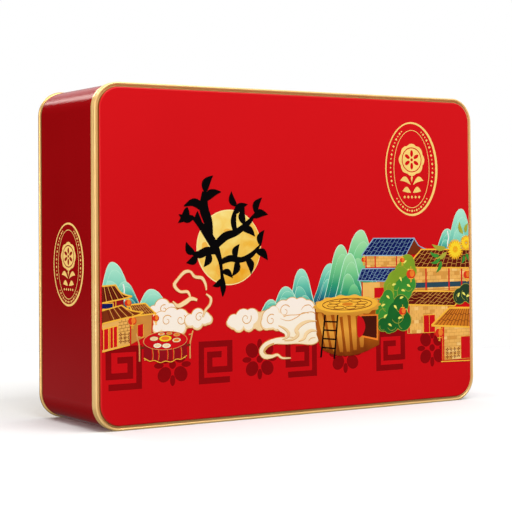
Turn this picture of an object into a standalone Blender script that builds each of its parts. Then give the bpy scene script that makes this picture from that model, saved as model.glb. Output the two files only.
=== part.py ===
"""Closed rectangular gift tin, standing upright on one long edge.

Metres, +Z up. +X runs along the long edge, +Z along the short edge, and the
lid faces -Y. The origin is the centre of the footprint, at the base.
"""
import bpy
import bmesh
from mathutils import Vector

# ---------------------------------------------------------------- dimensions
WIDTH = 0.300            # along X, over the gold rims
HEIGHT = 0.215           # along Z, over the gold rims
DEPTH = 0.086            # along Y, panel face to rear roll
CORNER_R = 0.0168        # corner radius of the rims' outline

PANEL_RAISE = 0.0026     # panel face above the groove floor
PANEL_EDGE_R = 0.0011    # rounding of the panel's front edge
BEAD_H = 0.0016          # bead crest above the groove floor
BEAD_W = 0.0017          # width of the bead seen from the front
GROOVE_W = 0.0014        # width of the groove between bead and panel
SKIRT = 0.0043           # gold skirt behind the groove floor
EDGE_ROUND = 0.0008      # rounding of the lid's bead and skirt

WALL_INSET = 0.0009      # wall stands back from the rims by this much
WALL_EDGE_R = 0.0005     # small rounding where the wall ends

ROLL_T = 0.0024          # thickness of the rolled rear rim, along Y
ROLL_ROUND = 0.00115     # its rounding
NECK_INSET = 0.0024      # the neck in front of the roll stands back this much
NECK_T = 0.0011          # length of the neck
BASE_RECESS = 0.0013     # the base sheet lies this far inside the roll
BASE_RIM_W = 0.0026      # width of the roll seen from behind

GAP = 0.0003             # clearance between touching pieces
CORNER_SEGS = 12
ROUND_SEGS = 4

FRONT = -DEPTH / 2
REAR = DEPTH / 2
GROOVE_Y = FRONT + PANEL_RAISE
BEAD_Y = GROOVE_Y - BEAD_H
SKIRT_Y = GROOVE_Y + SKIRT
ROLL_Y = REAR - ROLL_T
NECK_Y = ROLL_Y - NECK_T

# ------------------------------------------------------------------- helpers
for old in list(bpy.data.objects):
    bpy.data.objects.remove(old, do_unlink=True)

tin = bpy.data.collections.new("gift_tin")
bpy.context.scene.collection.children.link(tin)
cutters = bpy.data.collections.new("cutters")
bpy.context.scene.collection.children.link(cutters)


def material(name, colour, roughness, metallic):
    mat = bpy.data.materials.new(name)
    mat.use_nodes = True
    shader = mat.node_tree.nodes["Principled BSDF"]
    shader.inputs["Base Color"].default_value = (*colour, 1.0)
    shader.inputs["Roughness"].default_value = roughness
    shader.inputs["Metallic"].default_value = metallic
    return mat


def rounded_block(name, inset, y_near, y_far, collection, mat=None):
    """A block with its outline inset from the rims and its four edges along Y rounded."""
    size = Vector((WIDTH - 2 * inset, y_far - y_near, HEIGHT - 2 * inset))
    mesh = bpy.data.meshes.new(name)
    bm = bmesh.new()
    bmesh.ops.create_cube(bm, size=1.0)
    bmesh.ops.scale(bm, vec=size, verts=bm.verts)
    along_y = [e for e in bm.edges
               if abs((e.verts[0].co - e.verts[1].co).normalized().y) > 0.99]
    bmesh.ops.bevel(bm, geom=along_y, offset=CORNER_R - inset, offset_type="OFFSET",
                    segments=CORNER_SEGS, profile=0.5, affect="EDGES", clamp_overlap=True)
    bm.to_mesh(mesh)
    bm.free()
    obj = bpy.data.objects.new(name, mesh)
    obj.location = (0.0, (y_near + y_far) / 2, HEIGHT / 2)
    collection.objects.link(obj)
    if mat is not None:
        mesh.materials.append(mat)
    return obj


def cutter(name, inset, y_near, y_far):
    obj = rounded_block(name, inset, y_near, y_far, cutters)
    obj.hide_render = True
    obj.display_type = "WIRE"
    return obj


def boolean(obj, other, operation):
    mod = obj.modifiers.new(other.name, "BOOLEAN")
    mod.operation = operation
    mod.solver = "EXACT"
    mod.object = other


def round_edges(obj, width, angle_deg=50.0):
    mod = obj.modifiers.new("rounding", "BEVEL")
    mod.width = width
    mod.segments = ROUND_SEGS
    mod.limit_method = "ANGLE"
    mod.angle_limit = angle_deg * 3.141592653589793 / 180.0
    mod.use_clamp_overlap = True


red_wall = material("red_wall", (0.235, 0.004, 0.006), 0.38, 0.0)
red_panel = material("red_panel", (0.61, 0.006, 0.012), 0.3, 0.0)
gold_lid = material("gold_lid", (0.90, 0.60, 0.24), 0.28, 1.0)
gold_base = material("gold_base", (0.84, 0.55, 0.22), 0.3, 1.0)

# ---------------------------------------------------------------------- body
# Red wall: one block between the lid's skirt and the neck of the rear rim.
body = rounded_block("tin_body", WALL_INSET, SKIRT_Y + GAP, NECK_Y - GAP, tin, red_wall)
round_edges(body, WALL_EDGE_R)

# ----------------------------------------------------------------------- lid
# Gold lid: skirt and bead, with the field inside the bead sunk to the groove floor.
lid = rounded_block("lid", 0.0, BEAD_Y, SKIRT_Y, tin, gold_lid)
field = cutter("lid_field", BEAD_W, BEAD_Y - 0.004, GROOVE_Y)
boolean(lid, field, "DIFFERENCE")
round_edges(lid, EDGE_ROUND)

# Red panel raised inside the groove, with a rounded front edge.
panel = rounded_block("lid_panel", BEAD_W + GROOVE_W, FRONT, GROOVE_Y - GAP, tin, red_panel)
bm = bmesh.new()
bm.from_mesh(panel.data)
front_y = min(v.co.y for v in bm.verts)
front_edges = [e for e in bm.edges
               if all(abs(v.co.y - front_y) < 1e-6 for v in e.verts)]
bmesh.ops.bevel(bm, geom=front_edges, offset=PANEL_EDGE_R, offset_type="OFFSET",
                segments=ROUND_SEGS, profile=0.5, affect="EDGES", clamp_overlap=True)
bm.to_mesh(panel.data)
bm.free()

# ---------------------------------------------------------------------- base
# Rear rim: a rolled edge around a sunk base sheet, on a short neck.
base = rounded_block("base", 0.0, ROLL_Y, REAR, tin, gold_base)
sunk = cutter("base_field", BASE_RIM_W, REAR - BASE_RECESS, REAR + 0.004)
boolean(base, sunk, "DIFFERENCE")
round_edges(base, ROLL_ROUND)
neck = cutter("base_neck", NECK_INSET, NECK_Y, ROLL_Y + 0.0004)
boolean(base, neck, "UNION")

for obj in tin.objects:
    for poly in obj.data.polygons:
        poly.use_smooth = False
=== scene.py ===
import bpy
import bmesh
import math
import random
from mathutils import Vector, Matrix


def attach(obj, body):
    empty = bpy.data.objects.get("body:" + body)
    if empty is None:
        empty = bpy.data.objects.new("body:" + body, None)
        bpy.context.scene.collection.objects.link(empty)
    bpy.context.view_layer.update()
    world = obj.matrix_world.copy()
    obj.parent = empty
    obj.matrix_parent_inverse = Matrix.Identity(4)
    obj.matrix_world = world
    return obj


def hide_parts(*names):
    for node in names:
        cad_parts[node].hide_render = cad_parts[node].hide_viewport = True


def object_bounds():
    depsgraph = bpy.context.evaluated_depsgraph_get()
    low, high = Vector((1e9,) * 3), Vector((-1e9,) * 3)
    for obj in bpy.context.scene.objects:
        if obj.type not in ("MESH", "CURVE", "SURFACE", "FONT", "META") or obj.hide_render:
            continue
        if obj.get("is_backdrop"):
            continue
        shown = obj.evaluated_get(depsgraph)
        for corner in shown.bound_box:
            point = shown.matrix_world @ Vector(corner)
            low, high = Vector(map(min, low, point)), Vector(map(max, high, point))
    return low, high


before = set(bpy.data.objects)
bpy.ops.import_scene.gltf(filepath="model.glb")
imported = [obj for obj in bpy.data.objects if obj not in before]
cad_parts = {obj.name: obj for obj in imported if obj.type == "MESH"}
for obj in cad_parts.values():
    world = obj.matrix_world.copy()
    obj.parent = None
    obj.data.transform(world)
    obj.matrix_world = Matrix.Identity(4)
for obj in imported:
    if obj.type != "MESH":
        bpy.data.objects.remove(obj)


def plain(v):
    return [plain(x) for x in v] if hasattr(v, "__len__") or hasattr(v, "__iter__") else float(v)


start_bounds = plain(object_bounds())
random.seed(7)
MM = 0.001
QUICK = bool(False)

# ------------------------------------------------------------ sizes, in mm
W, H, R = 300.0, 215.0, 16.8
FRONT = -42.65            # red panel's face; the print lies on it
GROOVE_Y = -40.4
BEAD_Y = -42.0
SKIRT_Y = -36.1
WALL = 0.9                # wall stands back from the rims
PANEL_D = 3.1             # panel's side wall, in from the rim
PANEL_R = 0.8
SEGS = 24 if QUICK else 32
LV = 0.024                # one layer of ink


def lin(c):
    c = c / 255.0
    return c / 12.92 if c <= 0.04045 else ((c + 0.055) / 1.055) ** 2.4


def rgb(h, k=1.0):
    h = h.lstrip("#")
    return tuple(min(1.0, lin(int(h[i:i + 2], 16)) * k) for i in (0, 2, 4)) + (1.0,)


# --------------------------------------------------------------- materials
def shader(name):
    m = bpy.data.materials.new(name)
    m.use_nodes = True
    nt = m.node_tree
    nt.nodes.clear()
    out = nt.nodes.new("ShaderNodeOutputMaterial")
    bsdf = nt.nodes.new("ShaderNodeBsdfPrincipled")
    nt.links.new(bsdf.outputs[0], out.inputs[0])
    co = nt.nodes.new("ShaderNodeTexCoord")
    return m, nt, bsdf, co


def noise_node(nt, co, scale, detail=3.0, rough=0.5, distortion=0.0):
    n = nt.nodes.new("ShaderNodeTexNoise")
    n.inputs["Scale"].default_value = scale
    n.inputs["Detail"].default_value = detail
    n.inputs["Roughness"].default_value = rough
    n.inputs["Distortion"].default_value = distortion
    nt.links.new(co.outputs["Object"], n.inputs["Vector"])
    return n


def ramp_node(nt, stops):
    r = nt.nodes.new("ShaderNodeValToRGB")
    els = r.color_ramp.elements
    els[0].position, els[0].color = stops[0]
    els[1].position, els[1].color = stops[-1]
    for p, c in stops[1:-1]:
        e = els.new(p)
        e.color = c
    return r


def lacquer(name, lo, hi, rough, scale=40.0, coat=0.0, coat_rough=0.1, metallic=0.0,
            bump=0.0, bump_scale=900.0, spec=0.2):
    """A printed or lacquered surface: faint mottling in colour, faint grain."""
    m, nt, bsdf, co = shader(name)
    n = noise_node(nt, co, scale)
    r = ramp_node(nt, [(0.35, lo), (0.65, hi)])
    nt.links.new(n.outputs["Fac"], r.inputs["Fac"])
    nt.links.new(r.outputs["Color"], bsdf.inputs["Base Color"])
    bsdf.inputs["Roughness"].default_value = rough
    bsdf.inputs["Metallic"].default_value = metallic
    bsdf.inputs["Specular IOR Level"].default_value = spec
    bsdf.inputs["Coat Weight"].default_value = coat
    bsdf.inputs["Coat Roughness"].default_value = coat_rough
    if bump:
        b = nt.nodes.new("ShaderNodeBump")
        b.inputs["Strength"].default_value = bump
        b.inputs["Distance"].default_value = 0.0002
        n2 = noise_node(nt, co, bump_scale, 2.0)
        nt.links.new(n2.outputs["Fac"], b.inputs["Height"])
        nt.links.new(b.outputs[0], bsdf.inputs["Normal"])
    return m


INK_ROUGH = 0.5


def ink(name, colour, k=1.0, spread=0.06, scale=60.0):
    lo = tuple(c * (1 - spread) for c in rgb(colour, k)[:3]) + (1.0,)
    hi = tuple(min(1.0, c * (1 + spread)) for c in rgb(colour, k)[:3]) + (1.0,)
    return lacquer(name, lo, hi, INK_ROUGH, scale, spec=0.05)


def graded(name, z0, z1, stops, rough=INK_ROUGH, axis="Z", wobble=0.12, scale=45.0):
    """Ink graded from z0 to z1 (mm), with a soft wobble."""
    m, nt, bsdf, co = shader(name)
    sep = nt.nodes.new("ShaderNodeSeparateXYZ")
    nt.links.new(co.outputs["Object"], sep.inputs[0])
    mr = nt.nodes.new("ShaderNodeMapRange")
    mr.inputs["From Min"].default_value = z0 * MM
    mr.inputs["From Max"].default_value = z1 * MM
    nt.links.new(sep.outputs[axis], mr.inputs["Value"])
    n = noise_node(nt, co, scale, 2.0)
    mad = nt.nodes.new("ShaderNodeMath")
    mad.operation = "MULTIPLY_ADD"
    mad.inputs[1].default_value = wobble * 2
    nt.links.new(n.outputs["Fac"], mad.inputs[0])
    nt.links.new(mr.outputs["Result"], mad.inputs[2])
    sub = nt.nodes.new("ShaderNodeMath")
    sub.operation = "SUBTRACT"
    sub.inputs[1].default_value = wobble
    nt.links.new(mad.outputs[0], sub.inputs[0])
    r = ramp_node(nt, stops)
    nt.links.new(sub.outputs[0], r.inputs["Fac"])
    nt.links.new(r.outputs["Color"], bsdf.inputs["Base Color"])
    bsdf.inputs["Roughness"].default_value = rough
    bsdf.inputs["Specular IOR Level"].default_value = 0.05
    return m


RED_PANEL = lacquer("red_panel_lacquer", rgb("#d1040e"), rgb("#d4050f"), 0.38, 12.0,
                    bump=0.02, bump_scale=700.0, spec=0.24)
# Wall: the panel's red lacquer with a darker base colour, which is painted shade on the side wall.
RED_WALL_PAINTED_SHADE = lacquer("red_wall_lacquer_painted_shade", rgb("#940408"), rgb("#98050a"), 0.20, 14.0,
                   bump=0.015, bump_scale=700.0, spec=0.03)
GOLD_RIM = lacquer("gold_rim_lacquer", rgb("#fbcb7e"), rgb("#fdcf85"), 0.27, 60.0,
                   metallic=0.28, bump=0.01, bump_scale=1600.0, spec=0.8)
# Dark bronze: painted shade in the rim's groove, on the panel's step and at the skirt's rear curl.
GOLD_PAINTED_SHADE = lacquer("gold_groove_painted_shade", rgb("#8e5420"), rgb("#965c26"), 0.42, 60.0,
                    metallic=0.45, spec=0.3)
GOLD_BASE = lacquer("gold_base_lacquer", rgb("#e4b66c"), rgb("#e8bd78"), 0.32, 30.0,
                    metallic=0.7, bump=0.03, bump_scale=1200.0, spec=0.5)


# ------------------------------------------------------------ swept shells
def outline(d, y, segs=SEGS):
    """Rounded rectangle, inset d from the rims' outline, at depth y."""
    r = max(R - d, 0.6)
    hx, hz = W / 2 - d, H / 2 - d
    pts = []
    for cx, cz, a0 in ((hx - r, hz - r, 0), (-hx + r, hz - r, 90),
                       (-hx + r, -hz + r, 180), (hx - r, -hz + r, 270)):
        for k in range(segs + 1):
            a = math.radians(a0 + 90.0 * k / segs)
            pts.append(Vector(((cx + r * math.cos(a)) * MM, y * MM,
                               (H / 2 + cz + r * math.sin(a)) * MM)))
    return pts


def sweep(name, profile, mat, closed=False, sharp=40.0):
    """Loft the profile [(inset, y), ...] round the tin; capped unless closed."""
    bm = bmesh.new()
    rings = [[bm.verts.new(p) for p in outline(d, y)] for d, y in profile]
    pairs = list(zip(rings[:-1], rings[1:]))
    if closed:
        pairs.append((rings[-1], rings[0]))
    for a, b in pairs:
        n = len(a)
        for i in range(n):
            j = (i + 1) % n
            bm.faces.new((a[i], a[j], b[j], b[i]))
    if not closed:
        bm.faces.new(list(reversed(rings[0])))
        bm.faces.new(rings[-1])
    bmesh.ops.recalc_face_normals(bm, faces=bm.faces)
    me = bpy.data.meshes.new(name)
    bm.to_mesh(me)
    bm.free()
    for p in me.polygons:
        p.use_smooth = True
    me.set_sharp_from_angle(angle=math.radians(sharp))
    ob = bpy.data.objects.new(name, me)
    me.materials.append(mat)
    bpy.context.scene.collection.objects.link(ob)
    return ob


def arc(cd, cy, r, a0, a1, n):
    return [(cd + r * math.cos(math.radians(a0 + (a1 - a0) * k / n)),
             cy + r * math.sin(math.radians(a0 + (a1 - a0) * k / n))) for k in range(n + 1)]


# Wall: straight red wall that turns in to a short neck before the rear roll; the neck's near-black colour is painted
# shade in the recess.
wall_profile = [(4.0, -36.4), (WALL, -36.4), (WALL, -35.0), (WALL, 38.5)]
wall_profile += arc(WALL + 0.7, 38.6, 0.7, 180, 90, 5)
wall_profile += [(3.0, 39.35), (3.2, 39.6), (3.2, 41.2)]
wall = sweep("wall_shell", wall_profile, RED_WALL_PAINTED_SHADE)
NECK_PAINTED_SHADE = lacquer("neck_painted_shade", rgb("#2c0606"), rgb("#340808"), 0.5, 20.0, spec=0.1)
wall.data.materials.append(NECK_PAINTED_SHADE)
# The neck's faces get the near-black painted shade.
for p in wall.data.polygons:
    if p.index // (4 * (SEGS + 1)) >= len(wall_profile) - 4 and len(p.vertices) == 4:
        p.material_index = 1

# Lid rim: gold skirt with a soft side lobe, round bead, groove, panel's lower side.
rim = [(1.6, -36.5), (1.25, -36.18)]
rim += arc(0.62, -36.75, 0.62, 62, 180, 8)
BULGE = 0.0
for k in range(1, 11):                      # side lobe, rear to valley
    t = k / 10.0
    y = -36.75 + (-39.55 + 36.75) * t
    s = (t - 0.18) / 0.82
    rim.append((BULGE + (0.52 * s * s if s > 0 else 0.0), y))
rim += [(0.46, -39.78), (0.30, -40.0), (0.12, -40.35)]
rim += [(0.85 + 0.85 * math.cos(math.radians(a)), -41.15 + 0.85 * math.sin(math.radians(a)))
        for a in range(150, 361, 14)]
rim += [(1.70, -41.05), (1.76, -40.95), (1.90, -40.82), (2.10, -40.75), (2.74, -40.75),
        (2.94, -40.82), (3.03, -40.95), (3.07, -41.1), (3.07, -41.72), (3.14, -41.80),
        (3.9, -41.80), (3.9, -38.6), (1.6, -38.2)]
lid_rim = sweep("lid_rim", rim, GOLD_RIM, closed=True, sharp=50.0)
lid_rim.data.materials.append(GOLD_PAINTED_SHADE)
NR = 4 * (SEGS + 1)
g0 = rim.index((2.94, -40.82))
g1 = rim.index((3.14, -41.80))
# The groove floor, the panel's lower side and the skirt's rear curl take the dark bronze painted shade.
for p in lid_rim.data.polygons:
    k = p.index // NR
    if g0 - 1 <= k < g1 or k < 6:
        p.material_index = 1

# Red panel: rounded edge, then the flat face.
panel = [(5.0, -40.3), (PANEL_D + 0.03, -40.6), (PANEL_D + 0.03, FRONT + PANEL_R)]
panel += arc(PANEL_D + 0.03 + PANEL_R, FRONT + PANEL_R, PANEL_R, 180, 270, 9)
panel += [(PANEL_D + PANEL_R + 0.6, FRONT), (PANEL_D + PANEL_R + 4.0, FRONT)]
lid_panel = sweep("panel_shell", panel, RED_PANEL)

# Rear: rolled rim and a sunk base sheet with a stamped step.
roll = arc(1.4, 41.6, 1.4, 0, 345, 23)
base_roll = sweep("base_roll", roll, GOLD_BASE, closed=True, sharp=60.0)
sheet = [(6.0, 40.9), (2.0, 40.9), (2.0, 42.2), (2.3, 42.15), (2.9, 41.95), (3.6, 41.75),
         (8.0, 41.7), (10.0, 41.7), (10.5, 41.78), (11.2, 42.22), (11.7, 42.3), (16.0, 42.3)]
base_sheet = sweep("base_sheet", sheet, GOLD_BASE)

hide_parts("tin_body")
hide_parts("lid")
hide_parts("lid_panel")
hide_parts("base")
for ob in (wall, lid_rim, lid_panel, base_roll, base_sheet):
    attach(ob, "root")


# -------------------------------------------------------------- print tools
def on_lid(u, v, h):
    return Vector((u * MM, (FRONT - h) * MM, v * MM))


def on_side(u, v, h):
    return Vector(((-W / 2 + WALL - h) * MM, -u * MM, v * MM))


LIMIT = 145.95            # half width of the panel's flat face


def clip(pts, lim=LIMIT):
    for side in (-1, 1):
        res = []
        n = len(pts)
        for i in range(n):
            a, b = pts[i], pts[(i + 1) % n]
            ia, ib = a[0] * side <= lim, b[0] * side <= lim
            if ia:
                res.append(a)
            if ia != ib:
                t = (side * lim - a[0]) / (b[0] - a[0])
                res.append((side * lim, a[1] + (b[1] - a[1]) * t))
        pts = res
        if len(pts) < 3:
            return []
    return pts


def tidy(pts, eps=0.02):
    out = []
    for p in pts:
        if not out or math.hypot(p[0] - out[-1][0], p[1] - out[-1][1]) > eps:
            out.append(p)
    if len(out) > 1 and math.hypot(out[0][0] - out[-1][0], out[0][1] - out[-1][1]) <= eps:
        out.pop()
    return out


class Print:
    """Fields of ink laid on a face of the tin, as thin closed slabs."""

    def __init__(self, name, place=on_lid, limit=LIMIT):
        self.name, self.place, self.limit = name, place, limit
        self.bm = bmesh.new()
        self.mats = []
        self.count = 0

    def height(self, lvl):
        """Each field lies a hair above the one before, so none share a plane."""
        self.count += 1
        return (lvl + 0.045 * (self.count % 10)) * LV

    def slot(self, mat):
        if mat not in self.mats:
            self.mats.append(mat)
        return self.mats.index(mat)

    def fill(self, pts, mat, lvl):
        pts = tidy(clip(list(pts), self.limit))
        if len(pts) < 3:
            return
        area = sum(a[0] * b[1] - b[0] * a[1] for a, b in zip(pts, pts[1:] + pts[:1])) / 2
        if abs(area) < 0.01:
            return
        if area < 0:
            pts = pts[::-1]
        s = self.slot(mat)
        h = self.height(lvl)
        top = [self.bm.verts.new(self.place(u, v, h)) for u, v in pts]
        low = [self.bm.verts.new(self.place(u, v, -0.03)) for u, v in pts]
        faces = [self.bm.faces.new(top), self.bm.faces.new(low[::-1])]
        n = len(pts)
        for i in range(n):
            j = (i + 1) % n
            faces.append(self.bm.faces.new((top[j], top[i], low[i], low[j])))
        for f in faces:
            f.material_index = s

    def strip(self, left, right, mat, lvl, closed=False):
        s = self.slot(mat)
        lim = self.limit
        fit = lambda p: (max(-lim, min(lim, p[0])), p[1])
        left, right = [fit(p) for p in left], [fit(p) for p in right]
        put = lambda ps, h: [self.bm.verts.new(self.place(u, v, h)) for u, v in ps]
        h = self.height(lvl)
        lt, rt = put(left, h), put(right, h)
        lb, rb = put(left, -0.03), put(right, -0.03)
        n = len(left)
        faces = []
        for i in range(n if closed else n - 1):
            j = (i + 1) % n
            faces += [self.bm.faces.new(q) for q in
                      ((lt[i], rt[i], rt[j], lt[j]), (lb[j], rb[j], rb[i], lb[i]),
                       (lt[j], lb[j], lb[i], lt[i]), (rt[i], rb[i], rb[j], rt[j]))]
        if not closed:
            faces += [self.bm.faces.new((lt[0], lb[0], rb[0], rt[0])),
                      self.bm.faces.new((rt[-1], rb[-1], lb[-1], lt[-1]))]
        for f in faces:
            f.material_index = s

    def stroke(self, pts, w, mat, lvl, closed=False, ease=None):
        """A line of width w; w may be a list, one width a point."""
        ws = list(w) if isinstance(w, (list, tuple)) else [w] * len(pts)
        left, right = [], []
        n = len(pts)
        for i in range(n):
            p = pts[i]
            a = pts[i - 1] if (i or closed) else None
            b = pts[(i + 1) % n] if (i < n - 1 or closed) else None
            dirs = []
            for u, v in ((a, p), (p, b)):
                if u is not None and v is not None:
                    m = math.hypot(v[0] - u[0], v[1] - u[1])
                    if m > 1e-9:
                        dirs.append(((v[0] - u[0]) / m, (v[1] - u[1]) / m))
            if not dirs:
                dirs = [(1.0, 0.0)]
            tx, ty = dirs[0][0] + dirs[-1][0], dirs[0][1] + dirs[-1][1]
            m = math.hypot(tx, ty)
            tx, ty = (tx / m, ty / m) if m > 1e-6 else dirs[0]
            wide = 1.0 / max(0.6, abs(tx * dirs[0][0] + ty * dirs[0][1]))
            nx, ny = -ty * ws[i] / 2 * wide, tx * ws[i] / 2 * wide
            left.append((p[0] + nx, p[1] + ny))
            right.append((p[0] - nx, p[1] - ny))
        self.strip(left, right, mat, lvl, closed)

    def done(self, body="root"):
        bmesh.ops.recalc_face_normals(self.bm, faces=self.bm.faces)
        me = bpy.data.meshes.new(self.name)
        self.bm.to_mesh(me)
        self.bm.free()
        for m in self.mats:
            me.materials.append(m)
        ob = bpy.data.objects.new(self.name, me)
        bpy.context.scene.collection.objects.link(ob)
        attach(ob, body)
        return ob


def ellipse(cx, cz, rx, rz=None, n=40, a0=0.0, a1=360.0):
    rz = rx if rz is None else rz
    full = abs(a1 - a0) >= 359.9
    m = n if full else n + 1
    return [(cx + rx * math.cos(math.radians(a0 + (a1 - a0) * k / n)),
             cz + rz * math.sin(math.radians(a0 + (a1 - a0) * k / n))) for k in range(m)]


def smooth(pts, n=6, closed=False):
    out = []
    m = len(pts)
    rng = range(m) if closed else range(m - 1)
    for i in rng:
        p0 = pts[(i - 1) % m] if (closed or i) else pts[0]
        p1, p2 = pts[i], pts[(i + 1) % m]
        p3 = pts[(i + 2) % m] if (closed or i < m - 2) else pts[-1]
        for k in range(n):
            t = k / n
            out.append(tuple(0.5 * (2 * p1[a] + (p2[a] - p0[a]) * t
                                    + (2 * p0[a] - 5 * p1[a] + 4 * p2[a] - p3[a]) * t * t
                                    + (3 * p1[a] - p0[a] - 3 * p2[a] + p3[a]) * t ** 3)
                             for a in range(len(p1))))
    if not closed:
        out.append(tuple(pts[-1]))
    return out


def lerp(a, b, t):
    return (a[0] + (b[0] - a[0]) * t, a[1] + (b[1] - a[1]) * t)


def blob(circles, n=110, grow=0.0):
    """Outline of overlapping discs, seen from their common middle."""
    cx = sum(c[0] * c[2] for c in circles) / sum(c[2] for c in circles)
    cz = sum(c[1] * c[2] for c in circles) / sum(c[2] for c in circles)
    pts = []
    for k in range(n):
        a = 2 * math.pi * k / n
        ux, uz = math.cos(a), math.sin(a)
        best = 0.2
        for x, z, r in circles:
            dx, dz = x - cx, z - cz
            b = ux * dx + uz * dz
            disc = b * b - (dx * dx + dz * dz - (r + grow) ** 2)
            if disc >= 0:
                best = max(best, b + math.sqrt(disc))
        pts.append((cx + ux * best, cz + uz * best))
    return pts


def spiral(cx, cz, r, turns=1.1, a0=0.0, flip=1, n=26):
    return [(cx + flip * r * (1 - 0.8 * k / n) * math.cos(a0 + 2 * math.pi * turns * k / n),
             cz + r * (1 - 0.8 * k / n) * math.sin(a0 + 2 * math.pi * turns * k / n))
            for k in range(n + 1)]

# ------------------------------------------------------------- print inks
GOLD_INK = ink("ink_gold", "#f6cf74", 1.0, 0.05)
GOLD_SIDE = ink("ink_gold_side", "#ffd27a", 1.0, 0.05)
DARK_RED = ink("ink_dark_red", "#8e060b", 1.0, 0.05)
BLACK = ink("ink_black", "#050304", 1.0, 0.05)
CREAM = graded("ink_cream", 40, 78, [(0.0, rgb("#ffe6b4")), (0.45, rgb("#fff2de")), (1.0, rgb("#fff0e4"))])
CREAM2 = ink("ink_cream_warm", "#f8d6a2", 1.0, 0.06)
TAN = ink("ink_tan", "#dfa45c", 1.0, 0.06)
ROOF_RED = ink("ink_roof_red", "#61150b", 1.0, 0.12)
ROOF_BROWN = ink("ink_roof_brown", "#7a2f12", 1.0, 0.12)
ROOF_ORANGE = ink("ink_roof_orange", "#d67c22", 1.0, 0.10)
ROOF_LINE = ink("ink_roof_line", "#e8a64c", 1.0, 0.06)
NAVY = ink("ink_navy", "#101a5a", 1.0, 0.12)
NAVY_LINE = ink("ink_navy_line", "#8db0c8", 1.0, 0.08)
EDGE = ink("ink_edge_gold", "#ffba3c", 1.0, 0.06)
WALL_TAN = ink("ink_wall_tan", "#f0b45c", 1.0, 0.08, 90.0)
WALL_DEEP = ink("ink_wall_deep", "#cf8a3c", 1.0, 0.10, 90.0)
BRICK_A = ink("ink_brick_deep", "#dc9a46", 1.0, 0.05, 90.0)
BRICK_B = ink("ink_brick_light", "#fac878", 1.0, 0.05, 90.0)
MORTAR = ink("ink_mortar", "#a05e22", 1.0, 0.06)
TEALBAND = ink("ink_teal_band", "#2c4a58", 1.0, 0.08)
RED_INK = ink("ink_red", "#d21018", 1.0, 0.06)
RED_DEEP = ink("ink_red_deep", "#94101a", 1.0, 0.08)
LANTERN = graded("ink_lantern", 0, 130, [(0.0, rgb("#d8241a")), (1.0, rgb("#e0401c"))], wobble=0.4, scale=220.0)
ORANGE = ink("ink_orange", "#f0802a", 1.0, 0.08)
GREEN_L = ink("ink_green_light", "#86a62a", 1.0, 0.10)
GREEN_M = ink("ink_green_mid", "#3c8f34", 1.0, 0.10)
GREEN_D = ink("ink_green_deep", "#1c6428", 1.0, 0.12)
GREEN_X = ink("ink_green_dark", "#27402a", 1.0, 0.12)
OLIVE = ink("ink_olive", "#a8a838", 1.0, 0.10)
FLECK = ink("ink_leaf_fleck", "#f4ea6a", 1.0, 0.06)
PETAL = ink("ink_petal", "#ffd42c", 1.0, 0.06)
PETAL2 = ink("ink_petal_deep", "#f2ac1c", 1.0, 0.06)
WHITE = ink("ink_white", "#f6f1ea", 1.0, 0.03)

HILL_STOPS = [(0.0, rgb("#12406c")), (0.3, rgb("#2f8a8c")), (0.65, rgb("#66c2a8")), (1.0, rgb("#a4e4c6"))]
GREEN_STOPS = [(0.0, rgb("#17607c")), (0.3, rgb("#2f9a70")), (0.65, rgb("#74c888")), (1.0, rgb("#b2e6ac"))]
PALE_STOPS = [(0.0, rgb("#2f8f94")), (0.5, rgb("#7fd0b6")), (1.0, rgb("#b4ecd0"))]

# --------------------------------------------------- dark red ornament band
band = Print("print_band")


def fret(cx, cz, w, h, t, mat, lvl, flip=1):
    """Square key-fret spiral."""
    hw, hh = (w - t) / 2, (h - t) / 2
    s = [(-1, -1), (1, -1), (1, 1), (-1, 1), (-1, -0.42), (0.42, -0.42), (0.42, 0.42), (-0.42, 0.42)]
    pts = [(cx + flip * a * hw, cz + b * hh) for a, b in s]
    band.stroke(pts, t, mat, lvl)


def petals(pr, cx, cz, n, r0, r1, w, mat, lvl, a0=0.0, pts=18):
    for k in range(n):
        a = math.radians(a0 + 360.0 * k / n)
        mx, mz = (r0 + r1) / 2, (r1 - r0) / 2
        ring = []
        for j in range(pts):
            t = 2 * math.pi * j / pts
            u, v = mx + mz * math.cos(t), w / 2 * math.sin(t)
            ring.append((cx + u * math.cos(a) - v * math.sin(a), cz + u * math.sin(a) + v * math.cos(a)))
        pr.fill(ring, mat, lvl)


BAND = [(-131.2, 26), (-97.0, 26), (-65.5, 26), (-32.2, 26), (0.5, 26), (36.5, 26), (75.0, 26), (111.6, 26)]
for i, (cx, wd) in enumerate(BAND):
    if i % 2 == 0:
        fret(cx, 38.6, 25.0, 27.0, 3.9, DARK_RED, 1, 1 if i % 4 == 0 else -1)
    else:
        petals(band, cx, 38.6, 4, 3.2, 13.4, 9.0, DARK_RED, 1, 45)
        petals(band, cx, 38.6, 4, 6.4, 13.2, 3.6, DARK_RED, 1, 0)
        band.fill(ellipse(cx, 38.6, 2.4, n=24), DARK_RED, 1)
band.done()

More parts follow.
